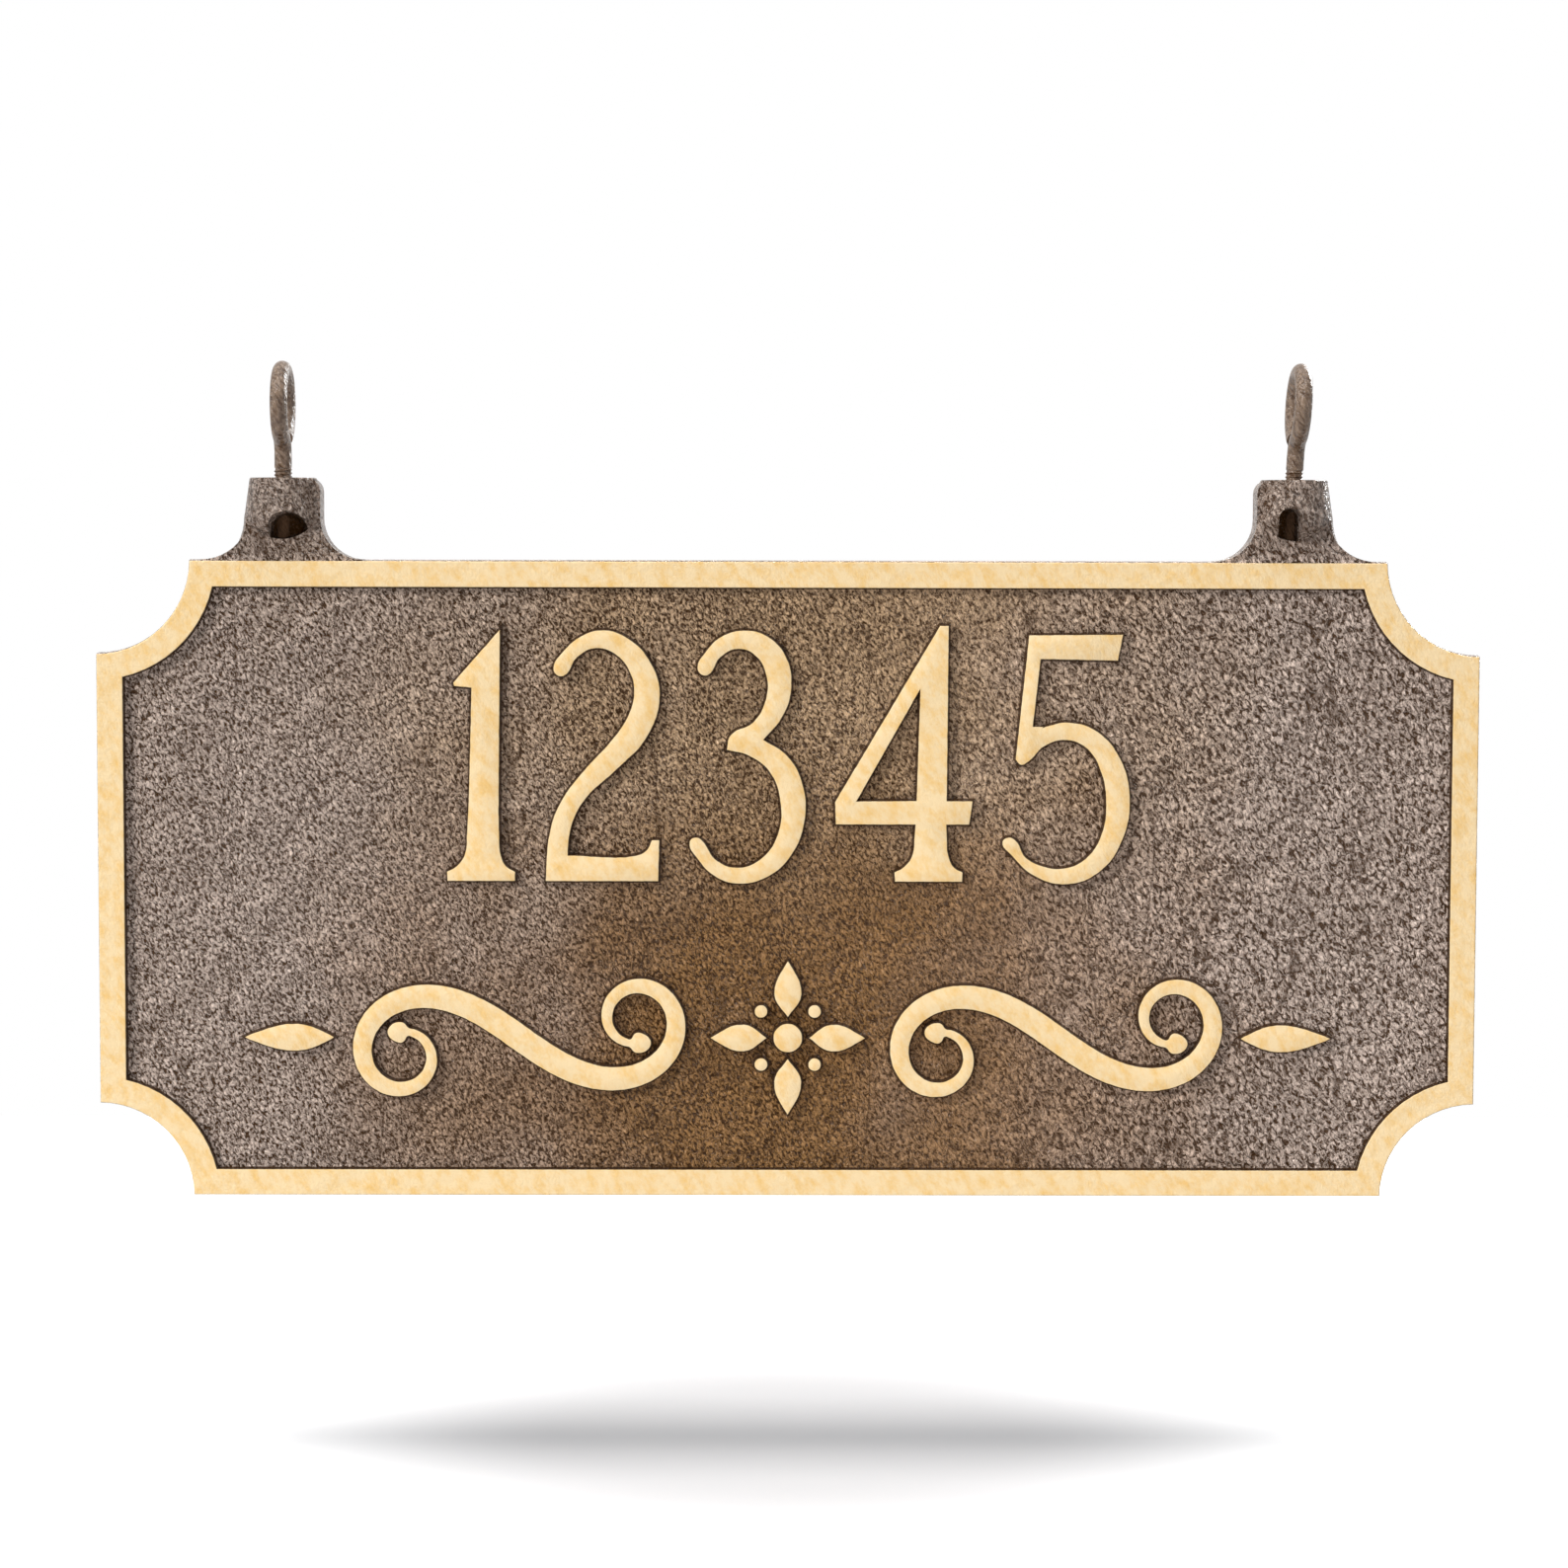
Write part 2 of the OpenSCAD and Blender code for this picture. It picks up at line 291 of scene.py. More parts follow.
def outside_painted_pocket_shade(tree, axes, depth, out):
    """Nought inside the lugs' pockets and holes, where the coat is darkened as painted shade, and one
    everywhere else.
    """
    across = add(tree, "Math", {0: out, 1: BOSS_X - POCKET_SHIFT}, operation="SUBTRACT").outputs[0]
    across = add(tree, "Math", {0: across}, operation="ABSOLUTE").outputs[0]
    beside = add(tree, "MapRange", {"Value": across, "From Min": 6.2 * MM, "From Max": 6.8 * MM}).outputs[0]
    outside = add(tree, "MapRange", {"Value": depth, "From Min": 4.0 * MM, "From Max": 4.9 * MM}).outputs[0]
    under = add(tree, "MapRange", {"Value": axes["Z"], "From Min": PLATE_TOP + 2 * MM,
                                   "From Max": PLATE_TOP + 1 * MM}).outputs[0]
    over = add(tree, "MapRange", {"Value": axes["Z"], "From Min": CASTING_HIGH.z - 1.5 * MM,
                                  "From Max": CASTING_HIGH.z - 0.8 * MM}).outputs[0]
    # One outside the painted shade of the pockets and holes
    clear = beside
    for bound in (outside, under, over):
        clear = add(tree, "Math", {0: clear, 1: bound}, operation="MAXIMUM").outputs[0]
    return clear


def off_walls_thick_coat_and_shade(tree, axes, depth, out):
    """Nought on the walls of the raised shapes and of the border, where the darker coat is thick enamel and
    painted shade, and one everywhere else.

    All of those walls are further from the plate's outline than half the border's width.
    """
    up = add(tree, "Math", {0: axes["Z"], 1: PLATE_MID.z}, operation="SUBTRACT").outputs[0]
    up = add(tree, "Math", {0: up}, operation="ABSOLUTE").outputs[0]
    from_side = add(tree, "Math", {0: HALF_W, 1: out}, operation="SUBTRACT").outputs[0]
    from_top = add(tree, "Math", {0: HALF_H, 1: up}, operation="SUBTRACT").outputs[0]
    to_corner = add(tree, "CombineXYZ", {0: from_side, 1: from_top}).outputs[0]
    from_scoop = add(tree, "VectorMath", {0: to_corner}, operation="LENGTH").outputs["Value"]
    from_scoop = add(tree, "Math", {0: from_scoop, 1: CORNER_R}, operation="SUBTRACT").outputs[0]
    inward = add(tree, "Math", {0: from_side, 1: from_top}, operation="MINIMUM").outputs[0]
    inward = add(tree, "Math", {0: inward, 1: from_scoop}, operation="MINIMUM").outputs[0]
    rim = add(tree, "Math", {0: inward, 1: BORDER_W / 2}, operation="LESS_THAN").outputs[0]
    level = add(tree, "MapRange", {"Value": depth, "From Min": FIELD_Y + 0.3 * MM,
                                   "From Max": FIELD_Y + 0.1 * MM}).outputs[0]
    return add(tree, "Math", {0: level, 1: rim}, operation="MAXIMUM").outputs[0]


def gold_paint(tree, leaned):
    """Colour of the gold paint, which is thin in small clouds."""
    finish = bpy.context.scene.sign_finish
    cloud = add(tree, "TexNoise", {"Vector": leaned, "Scale": 1 / (3 * MM), "Detail": 4.0,
                                   "Roughness": 0.65}).outputs["Fac"]
    thin = add(tree, "MapRange", {"Value": cloud, "From Min": 0.42, "From Max": 0.7}).outputs[0]
    return add(tree, "Mix", {"Factor": thin, "A": rgba(finish.gold), "B": rgba(finish.gold_worn)},
               data_type="RGBA").outputs["Result"]


def cast_enamel():
    """Sand-cast aluminium under a bronze-brown enamel, with gold paint rolled on the raised faces.

    The sand leaves a leathery grain about a millimetre across. The enamel is darkest in its valleys
    and rubbed paler on its crests, and it is glossy, so each grain throws a small highlight. It lies
    thick on walls, which are also darkened as painted shade. Painted shade darkens the lugs, the
    folds' troughs, the pockets and the lower middle, and painted sheen makes the enamel paler towards
    both ends. The roller reaches only the raised faces, so walls keep the enamel.
    """
    finish = bpy.context.scene.sign_finish
    material, tree = new_material("enamelled_sand_cast_aluminium")
    place = add(tree, "TexCoord").outputs["Object"]
    axes = add(tree, "SeparateXYZ", {0: place}).outputs
    depth = add(tree, "Math", {0: axes["Y"]}, operation="ABSOLUTE").outputs[0]
    out = add(tree, "Math", {0: axes["X"]}, operation="ABSOLUTE").outputs[0]
    leaned = add(tree, "Mapping", {"Vector": place, "Rotation": (0, math.radians(-32), 0),
                                   "Scale": (1.0, 1.0, 1.7)}, vector_type="TEXTURE").outputs[0]
    grain = sand_grain(tree, leaned, axes, finish.grain)
    folds = frozen_folds(tree, place)
    rolled = rolled_faces(tree, place, axes, depth)

    # How much of its own colour the coat shows, as a product of shares. The shares for the lugs, the folds'
    # troughs and the pockets are painted shade, and the walls' share is thick enamel and painted shade
    crest = add(tree, "MapRange", {"Value": grain, "From Min": 0.38, "From Max": 0.62},
                interpolation_type="SMOOTHSTEP").outputs[0]
    # Painted shade: the coat on the lugs is darker, to hold down the key light on their round bosses
    lug_painted_shade = add(tree, "MapRange", {"Value": axes["Z"], "From Min": PLATE_TOP,
                                      "From Max": PLATE_TOP + 2 * MM,
                                      "To Min": 1.0, "To Max": 0.62}).outputs[0]
    # Painted shade: the coat is darker in the troughs of the folds
    painted_fold_shade = add(tree, "MapRange", {"Value": folds, "From Min": 0.36, "From Max": 0.6,
                                    "To Min": 0.82}).outputs[0]
    shares = (flow_seams(tree, place), lug_painted_shade, painted_fold_shade, off_walls_thick_coat_and_shade(tree, axes, depth, out),
              outside_painted_pocket_shade(tree, axes, depth, out))
    shown = crest
    for share in shares:
        shown = add(tree, "Math", {0: shown, 1: share}, operation="MULTIPLY").outputs[0]
    brown = add(tree, "Mix", {"Factor": shown, "A": rgba(finish.dark_coat_and_painted_shade),
                              "B": coat_on_crests(tree, place, axes, out)},
                data_type="RGBA").outputs["Result"]
    colour = add(tree, "Mix", {"Factor": rolled, "A": brown, "B": gold_paint(tree, leaned)},
                 data_type="RGBA").outputs["Result"]

    # The paint is duller than the enamel, and fills the grain so that it shows less
    rough = add(tree, "MapRange", {"Value": rolled, "To Min": 0.17, "To Max": 0.42}).outputs[0]
    relief = add(tree, "MapRange", {"Value": rolled, "To Min": 1.0, "To Max": 0.2}).outputs[0]
    height = add(tree, "Math", {0: folds, 1: 1.2, 2: grain}, operation="MULTIPLY_ADD").outputs[0]
    bump = add(tree, "Bump", {"Strength": relief, "Distance": 3.2 * MM, "Height": height}).outputs[0]
    shader = add(tree, "BsdfPrincipled", {"Base Color": colour, "Roughness": rough, "Normal": bump,
                                          "Specular IOR Level": 0.3})
    add(tree, "OutputMaterial", {"Surface": shader.outputs[0]})
    return material


def wire_enamel():
    """Steel wire under the same brown enamel: smoother than the casting, with drawing marks.

    Below the top of the boss, in its hole, the coat is darkened as painted shade, and dull.
    """
    finish = bpy.context.scene.sign_finish
    material, tree = new_material("enamelled_steel_wire")
    place = add(tree, "TexCoord").outputs["Object"]
    drawn = add(tree, "Mapping", {"Vector": place, "Rotation": (0, math.radians(-35), 0),
                                  "Scale": (1.0, 1.0, 3.0)}, vector_type="TEXTURE").outputs[0]
    marks = add(tree, "TexNoise", {"Vector": drawn, "Scale": 1 / (0.9 * MM), "Detail": 3.0}).outputs["Fac"]
    tone = add(tree, "MapRange", {"Value": marks, "From Min": 0.35, "From Max": 0.65}).outputs[0]
    height = add(tree, "SeparateXYZ", {0: place}).outputs["Z"]
    # Painted shade: below the top of the boss the wire takes the darker coat
    clear = add(tree, "MapRange", {"Value": height, "From Min": CASTING_HIGH.z - 0.8 * MM,
                                   "From Max": CASTING_HIGH.z}).outputs[0]
    tone = add(tree, "Math", {0: tone, 1: clear}, operation="MULTIPLY").outputs[0]
    colour = add(tree, "Mix", {"Factor": tone, "A": rgba(finish.dark_coat_and_painted_shade), "B": rgba(finish.bolt)},
                 data_type="RGBA").outputs["Result"]
    rough = add(tree, "MapRange", {"Value": clear, "To Min": 0.8, "To Max": 0.25}).outputs[0]
    bump = add(tree, "Bump", {"Strength": 1.0, "Distance": 1.2 * MM, "Height": marks}).outputs[0]
    shader = add(tree, "BsdfPrincipled", {"Base Color": colour, "Roughness": rough, "Normal": bump})
    add(tree, "OutputMaterial", {"Surface": shader.outputs[0]})
    return material


def material_named(name, make):
    """The material of that name, made when it is first asked for."""
    return bpy.data.materials.get(name) or make()


def casting_material():
    return material_named("enamelled_sand_cast_aluminium", cast_enamel)


def wire_material():
    return material_named("enamelled_steel_wire", wire_enamel)


# Raised shapes on the faces

def corner(x, z):
    """A point where an outline turns sharply."""
    return (x, z, "VECTOR")


def smooth(x, z):
    """A point on a smooth curve."""
    return (x, z, "AUTO")


# Outlines of the numerals in millimetres, from the left end of the foot line. Each is a list of
# closed loops, and a point is a sharp corner or lies on a smooth curve.
FOOT_LEFT = [smooth(5.7, 13.5), smooth(5.0, 7.6), smooth(2.6, 4.3), corner(-0.1, 2.8), corner(0, 0)]
FOOT_RIGHT = [corner(19.7, 0), corner(19.8, 2.8), smooth(17.2, 4.3), smooth(15.6, 7.6), smooth(15.1, 13.5)]


def moved(points, dx):
    """The same points, further to the right."""
    return [(x + dx, z, kind) for x, z, kind in points]


NUMERALS = {
    "one": [FOOT_LEFT + FOOT_RIGHT + [corner(16.0, 74.3), corner(1.9, 57.6), corner(2.1, 56.5),
                                      corner(7.1, 56.0)]],
    "two": [[
        corner(0, 0), corner(32.8, 0), corner(33.1, 12.1), corner(30.8, 12.1), smooth(29.2, 9.0),
        smooth(26.4, 7.6), corner(6.6, 7.6), smooth(6.9, 12.6), smooth(8.2, 17.8), smooth(11.7, 24.0),
        smooth(20.4, 32.2), smooth(29.2, 41.5), smooth(33.2, 54.3), smooth(30.3, 63.8),
        smooth(24.5, 70.1), smooth(17.0, 72.8), smooth(10.2, 70.9), smooth(5.0, 66.3),
        smooth(2.4, 61.9), smooth(3.2, 59.9), smooth(5.4, 59.5), smooth(9.3, 64.8),
        smooth(14.6, 67.5), smooth(20.4, 65.7), smooth(24.5, 60.6), smooth(25.7, 54.6),
        smooth(23.9, 47.9), smooth(19.2, 40.9), smooth(11.7, 32.8), smooth(4.7, 23.4),
        smooth(1.5, 15.3)]],
    "three": [[
        smooth(13.6, -0.6), smooth(22.6, 1.4), smooth(29.8, 8.2), smooth(33.4, 18.4),
        smooth(32.6, 28.6), smooth(28.4, 36.4), corner(21.4, 41.2), smooth(26.8, 47.8),
        smooth(29.4, 56.4), smooth(27.8, 65.2), smooth(22.6, 71.0), smooth(15.6, 72.8),
        smooth(8.8, 70.8), smooth(4.4, 66.4), smooth(2.2, 62.2), smooth(3.0, 60.2),
        smooth(5.2, 59.8), smooth(8.8, 64.9), smooth(14.0, 67.4), smooth(19.0, 65.4),
        smooth(21.9, 60.4), smooth(22.0, 53.2), smooth(18.2, 46.2), smooth(11.8, 42.6),
        corner(10.6, 38.2), smooth(17.4, 36.4), smooth(23.4, 31.4), smooth(26.2, 23.2),
        smooth(25.6, 14.2), smooth(20.8, 6.8), smooth(13.6, 4.1), smooth(7.4, 6.6),
        smooth(3.6, 12.0), smooth(1.8, 12.9), smooth(0.0, 11.6), smooth(2.6, 6.2), smooth(7.2, 1.6)]],
    "four": [
        moved(FOOT_LEFT, 17.4) + moved(FOOT_RIGHT, 17.4) + [
            corner(32.4, 16.6), corner(39.0, 16.6), corner(40.0, 23.6), corner(32.5, 23.6),
            corner(32.8, 74.3), corner(30.2, 74.3), corner(0, 23.2), corner(0.2, 16.6),
            corner(23.3, 16.6)],
        [corner(23.6, 23.6), corner(6.6, 23.6), corner(23.9, 53.4)]],
    "five": [[
        corner(7.3, 71.6), corner(34.6, 71.9), corner(33.1, 64.2), corner(10.8, 64.6),
        corner(8.6, 43.6), smooth(13.1, 45.4), smooth(19.2, 46.4), smooth(27.2, 43.8),
        smooth(33.8, 36.2), smooth(36.8, 25.0), smooth(34.8, 12.4), smooth(28.2, 3.0),
        smooth(19.0, -0.6), smooth(9.6, 1.6), smooth(3.0, 7.4), smooth(0.0, 11.8),
        smooth(1.8, 13.0), smooth(3.8, 12.2), smooth(6.8, 7.2), smooth(12.0, 4.6),
        smooth(17.4, 4.0), smooth(24.0, 6.8), smooth(28.6, 13.8), smooth(29.9, 23.0),
        smooth(28.4, 31.9), smooth(24.2, 38.8), smooth(18.4, 41.2), smooth(12.2, 39.6),
        smooth(7.4, 35.0), smooth(5.2, 34.0), corner(3.6, 35.6)]],
}


def outline_shape(loops):
    """The edges of closed loops of points, in metres, standing in the plane of X and Z."""
    curve = bpy.data.curves.new("outline", "CURVE")
    curve.dimensions = "2D"
    curve.fill_mode = "NONE"
    curve.resolution_u = 6
    for loop in loops:
        spline = curve.splines.new("BEZIER")
        spline.bezier_points.add(len(loop) - 1)
        spline.use_cyclic_u = True
        for point, (x, z, kind) in zip(spline.bezier_points, loop):
            point.co = (x, z, 0)
            point.handle_left_type = point.handle_right_type = kind
    holder = bpy.data.objects.new("outline", curve)
    bpy.context.scene.collection.objects.link(holder)
    bpy.context.view_layer.update()
    mesh = bpy.data.meshes.new_from_object(holder)
    bpy.data.objects.remove(holder)
    bpy.data.curves.remove(curve)
    shape = bmesh.new()
    shape.from_mesh(mesh)
    bpy.data.meshes.remove(mesh)
    bmesh.ops.remove_doubles(shape, verts=shape.verts, dist=0.02 * MM)
    bmesh.ops.dissolve_limit(shape, angle_limit=0.01, verts=shape.verts, edges=[])
    bmesh.ops.rotate(shape, verts=shape.verts, cent=(0, 0, 0), matrix=Matrix.Rotation(math.pi / 2, 3, "X"))
    return shape


def fill_rims(shape, edges):
    """Closes rims with flat faces, and returns those faces."""
    new = bmesh.ops.triangle_fill(shape, edges=edges, use_beauty=True)["geom"]
    return [f for f in new if isinstance(f, bmesh.types.BMFace)]


def face_forwards(shape, faces):
    """Turns faces so that they look along -Y, which is forwards."""
    bmesh.ops.recalc_face_normals(shape, faces=faces)
    if faces[0].normal.y > 0:
        bmesh.ops.reverse_faces(shape, faces=faces)


def widen(shape, distance):
    """Moves the rim of upright flat faces outwards by the same distance all round.

    A sharp corner would fly far out, so its step is held back.
    """
    sharpest = 0.6
    outwards = {}
    for edge in shape.edges:
        if edge.is_boundary:
            start, end = edge.verts
            out = (end.co - start.co).normalized().cross(Vector((0, 1, 0)))
            if out.dot(start.co - edge.link_faces[0].calc_center_median()) < 0:
                out.negate()
            for vert in edge.verts:
                outwards.setdefault(vert, []).append(out)
    for vert, (one, other) in outwards.items():
        vert.co += (one + other) * distance / max(1 + one.dot(other), sharpest)


def raised(loops):
    """A raised shape with a drafted wall, a rounded upper edge and a closed underside.

    The loops are the outline of its upper face, and the wall spreads from there to its foot.
    """
    relief = bpy.context.scene.sign_relief
    base = FIELD_Y - relief.sink
    above_base = -base - HAIR
    shape = outline_shape(loops)
    bmesh.ops.translate(shape, verts=shape.verts, vec=(0, -base, 0))
    top = fill_rims(shape, [e for e in shape.edges if len(e.link_faces) < 2])
    face_forwards(shape, top)
    widen(shape, relief.draft)
    bmesh.ops.inset_region(shape, faces=top, thickness=relief.draft, depth=relief.face - base,
                           use_even_offset=True, use_boundary=True)

    # The upper face is filled anew with triangles, and its rim is rounded
    top = [f for f in shape.faces if all(v.co.y < above_base for v in f.verts)]
    bmesh.ops.delete(shape, geom=top, context="FACES")
    upper = [e for e in shape.edges if all(v.co.y < above_base for v in e.verts)]
    top = set(fill_rims(shape, upper))
    upper = [e for e in shape.edges if sum(f in top for f in e.link_faces) == 1]
    bmesh.ops.bevel(shape, geom=upper, offset=relief.rounding, offset_type="OFFSET", segments=2,
                    profile=0.5, affect="EDGES", material=-1)
    fill_rims(shape, [e for e in shape.edges if e.is_boundary])
    bmesh.ops.recalc_face_normals(shape, faces=shape.faces)
    if shape.calc_volume(signed=True) < 0:
        bmesh.ops.reverse_faces(shape, faces=shape.faces)
    return shape


def finish_piece(shape, name, material):
    """Makes a piece of a bmesh, with its place in its mesh, that rides on the sign."""
    mesh = bpy.data.meshes.new(name)
    shape.to_mesh(mesh)
    shape.free()
    mesh.shade_smooth()
    mesh.set_sharp_from_angle(angle=math.radians(35))
    piece = bpy.data.objects.new(name, mesh)
    bpy.context.scene.collection.objects.link(piece)
    mesh.materials.append(material)
    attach(piece, "root")


def numeral_ends(name):
    """Left and right ends of a numeral's outline, in millimetres."""
    across = [x for loop in NUMERALS[name] for x, z, kind in loop]
    return min(across), max(across)


class SIGN_OT_numerals(Operator):
    """Raised numerals on both faces, one after another across the upper half of the plate"""
    bl_idname = "sign.numerals"
    bl_label = "Numerals"

    def execute(self, context):
        settings = context.scene.sign_numerals
        scale = settings.height / NUMERAL_HEIGHT
        ends = {name: numeral_ends(name) for name in NUMERALS}
        total = sum(right - left for left, right in ends.values()) * scale
        total += settings.gap * (len(NUMERALS) - 1)
        foot = PLATE_MID.z + settings.baseline
        for side, turn in SIDES.items():
            start = -total / 2
            for name, loops in NUMERALS.items():
                left, right = ends[name]
                placed = [[(start + (x - left) * scale, foot + z * scale, kind) for x, z, kind in loop]
                          for loop in loops]
                shape = raised(placed)
                bmesh.ops.rotate(shape, verts=shape.verts, cent=(0, 0, 0),
                                 matrix=Matrix.Rotation(turn, 3, "Z"))
                finish_piece(shape, f"numeral_{name}_{side}", casting_material())
                start += (right - left) * scale + settings.gap
        return {"FINISHED"}


# Ornament, drawn about its own middle and for its right half

SCROLL_MIDDLE = Vector((78 * MM, 0))
SCROLL_TURN = 7.6  # radians that a scroll turns through from its middle to each end
SCROLL_NECK = 0.9 * MM  # half the width of its band where it meets the ball
OUTER_LEAF = {"x": 131 * MM, "length": 28 * MM, "width": 8 * MM}
ROSETTE_BUTTON_R = 4.2 * MM
ROSETTE_LEAF = {"from_middle": 6 * MM, "length": 17 * MM, "width": 8 * MM}
ROSETTE_BALL = {"from_middle": 11 * MM, "radius": 1.9 * MM}


def band(line, half_width, count):
    """Outline of a band along a line, with points closer at its ends.

    The line and its half width are functions of a number from -1 to 1.
    """
    nearby = 0.001
    left, right = [], []
    for i in range(count + 1):
        t = math.sin(math.pi * (i / count - 0.5))
        here = line(t)
        ahead = (line(min(t + nearby, 1)) - line(max(t - nearby, -1))).normalized()
        side = Vector((-ahead.y, ahead.x)) * half_width(t)
        left.append(smooth(*(here + side)))
        right.append(smooth(*(here - side)))
    return [left + right[-2:0:-1]]


def scroll_line(length, turn):
    """Line of an S whose curl tightens evenly from its middle towards both ends."""
    steps = 400
    points = [Vector((0, 0))]
    for i in range(steps):
        share = (i + 0.5) / steps
        angle = turn * share ** 2
        points.append(points[-1] + Vector((math.cos(angle), math.sin(angle))) * length / steps)

    def line(t):
        place = abs(t) * steps
        i = min(int(place), steps - 1)
        here = points[i].lerp(points[i + 1], place - i)
        return here if t >= 0 else -here
    return line


def scroll(settings):
    """An S lying level, whose band narrows to a neck and ends in a ball on both sides."""
    curl = scroll_line(settings.scroll_size, SCROLL_TURN)
    ends = curl(1) - curl(-1)
    level = Matrix.Rotation(-math.atan2(ends.y, ends.x), 2)

    def line(t):
        return SCROLL_MIDDLE + level @ curl(t)

    def half_width(t):
        left_over = (1 - abs(t)) * settings.scroll_size
        ball = math.sqrt(max(0, settings.ball ** 2 - (left_over - settings.ball) ** 2))
        if left_over < settings.ball:
            return ball
        return max(ball, settings.scroll_width / 2 * (1 - abs(t) ** 1.5) + SCROLL_NECK * abs(t))

    return band(line, half_width, count=84)


def ring(x, z, radius):
    """Round outline of eight smooth points."""
    return [smooth(x + radius * math.cos(a), z + radius * math.sin(a))
            for a in (i * math.pi / 4 for i in range(8))]


def leaf(x, z, angle, length, width):
    """Pointed leaf whose stalk end is at x and z."""
    along = Vector((math.cos(angle), math.sin(angle)))
    across = Vector((-along.y, along.x)) * width / 2
    stalk = Vector((x, z))
    belly = stalk + along * length * 0.4
    return [corner(*stalk), smooth(*(belly + across)), corner(*(stalk + along * length)),
            smooth(*(belly - across))]


def rosette():
    """A button with four leaves round it and a small ball between each two."""
    parts = [[ring(0, 0, ROSETTE_BUTTON_R)]]
    for i in range(4):
        angle = i * math.pi / 2
        r = ROSETTE_LEAF["from_middle"]
        parts.append([leaf(r * math.cos(angle), r * math.sin(angle), angle, ROSETTE_LEAF["length"],
                           ROSETTE_LEAF["width"])])
        between = angle + math.pi / 4
        r = ROSETTE_BALL["from_middle"]
        parts.append([ring(r * math.cos(between), r * math.sin(between), ROSETTE_BALL["radius"])])
    return parts


def merge_into(whole, part):
    """Adds one bmesh to another and frees the added one."""
    mesh = bpy.data.meshes.new("part")
    part.to_mesh(mesh)
    part.free()
    whole.from_mesh(mesh)
    bpy.data.meshes.remove(mesh)


class SIGN_OT_ornament(Operator):
    """Raised scrolls, leaves and rosette on both faces, across the lower half of the plate"""
    bl_idname = "sign.ornament"
    bl_label = "Ornament"

    def execute(self, context):
        settings = context.scene.sign_ornament
        middle = PLATE_MID.z - settings.middle
        right = [scroll(settings),
                 [leaf(OUTER_LEAF["x"], 0, 0, OUTER_LEAF["length"], OUTER_LEAF["width"])]]
        for side, turn in SIDES.items():
            whole = bmesh.new()
            for flip, parts in ((1, right), (-1, right), (1, rosette())):
                for loops in parts:
                    placed = [[(x * flip, middle + z * flip, kind) for x, z, kind in loop]
                              for loop in loops]
                    merge_into(whole, raised(placed))
            bmesh.ops.rotate(whole, verts=whole.verts, cent=(0, 0, 0),
                             matrix=Matrix.Rotation(turn, 3, "Z"))
            finish_piece(whole, f"ornament_{side}", casting_material())
        return {"FINISHED"}


# Threads

HIDDEN_THREAD = 4 * MM  # at least this much of the thread is down in the boss
THREAD_SINK = 0.1 * MM  # the thread's foot lies at least this far inside the wire
# Half the width of the thread's crest and foot, as shares of half the pitch
CREST_SHARE = 0.15
ROOT_SHARE = 0.9


class SIGN_OT_threads(Operator):
    """Rolled thread on the shank of each eye bolt, from the neck down to the boss"""
    bl_idname = "sign.threads"
    bl_label = "Threads"

    def execute(self, context):
        settings = context.scene.sign_threads
        turns = math.ceil((settings.show + HIDDEN_THREAD) / settings.pitch)
        root, crest = settings.root_d / 2 - THREAD_SINK, settings.outer_d / 2
        half = settings.pitch / 2
        start = settings.show - turns * settings.pitch - half
        for side, (x, lean) in BOLT_LEANS.items():
            shape = bmesh.new()
            ridge = [shape.verts.new(v) for v in (
                (root, 0, start - half * ROOT_SHARE), (crest, 0, start - half * CREST_SHARE),
                (crest, 0, start + half * CREST_SHARE), (root, 0, start + half * ROOT_SHARE))]
            shape.faces.new(ridge)
            bmesh.ops.spin(shape, geom=shape.verts[:] + shape.edges[:] + shape.faces[:],
                           cent=(0, 0, 0), axis=(0, 0, 1), angle=2 * math.pi * turns,
                           dvec=(0, 0, settings.pitch / settings.steps),
                           steps=settings.steps * turns)
            bmesh.ops.recalc_face_normals(shape, faces=shape.faces)
            place = Matrix.Translation((x, 0, CASTING_HIGH.z)) @ Matrix.Rotation(lean, 4, "Y")
            bmesh.ops.transform(shape, verts=shape.verts, matrix=place)
            finish_piece(shape, f"{side}_bolt_thread", wire_material())
        return {"FINISHED"}


class SIGN_OT_finish(Operator):
    """Enamel and gold paint on the casting, enamel on the eye bolts"""
    bl_idname = "sign.finish"
    bl_label = "Finish"

    def execute(self, context):
        finishes = {"sign_casting": casting_material(), "left_eye_bolt": wire_material(),
                    "right_eye_bolt": wire_material()}
        for name, material in finishes.items():
            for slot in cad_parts[name].material_slots:
                slot.material = material
        return {"FINISHED"}


# Stage

WHITE = (1.0, 1.0, 1.0)

# Soft boxes aimed at the sign: degrees round from the front, degrees up, metres away, metres wide
# and high, watts and tint
SOFT_BOXES = {
    "key_soft_box": (-55, 28, 3.4, 0.9, 0.9, 93.0, WHITE),
    "right_soft_box": (24, 2, 1.7, 0.34, 0.5, 5.5, (1.0, 0.95, 0.95)),
    "left_soft_box": (-25, 5, 1.7, 0.34, 0.5, 3.0, WHITE),
    "back_soft_box": (150, 20, 3.4, 0.9, 0.9, 75.0, WHITE),
}
# The same for the one above, which is aimed at the floor
TOP_SOFT_BOX = (0, 90, 2.2, 3.2, 0.75, 50.0, WHITE)

# Reach in metres, along X and Y, of the oval that keeps the shadow. Past it the floor is white
SHADOW_REACH = (0.21, 0.17)

# Where the camera stands: left of the sign's middle and above the plate's, and how it is turned
CAMERA_LEFT = 7.4 * MM
CAMERA_RISE = 103.2 * MM
CAMERA_PITCH = math.radians(3.93)
CAMERA_YAW = math.radians(0.321)
CAMERA_ROLL = math.radians(0.137)


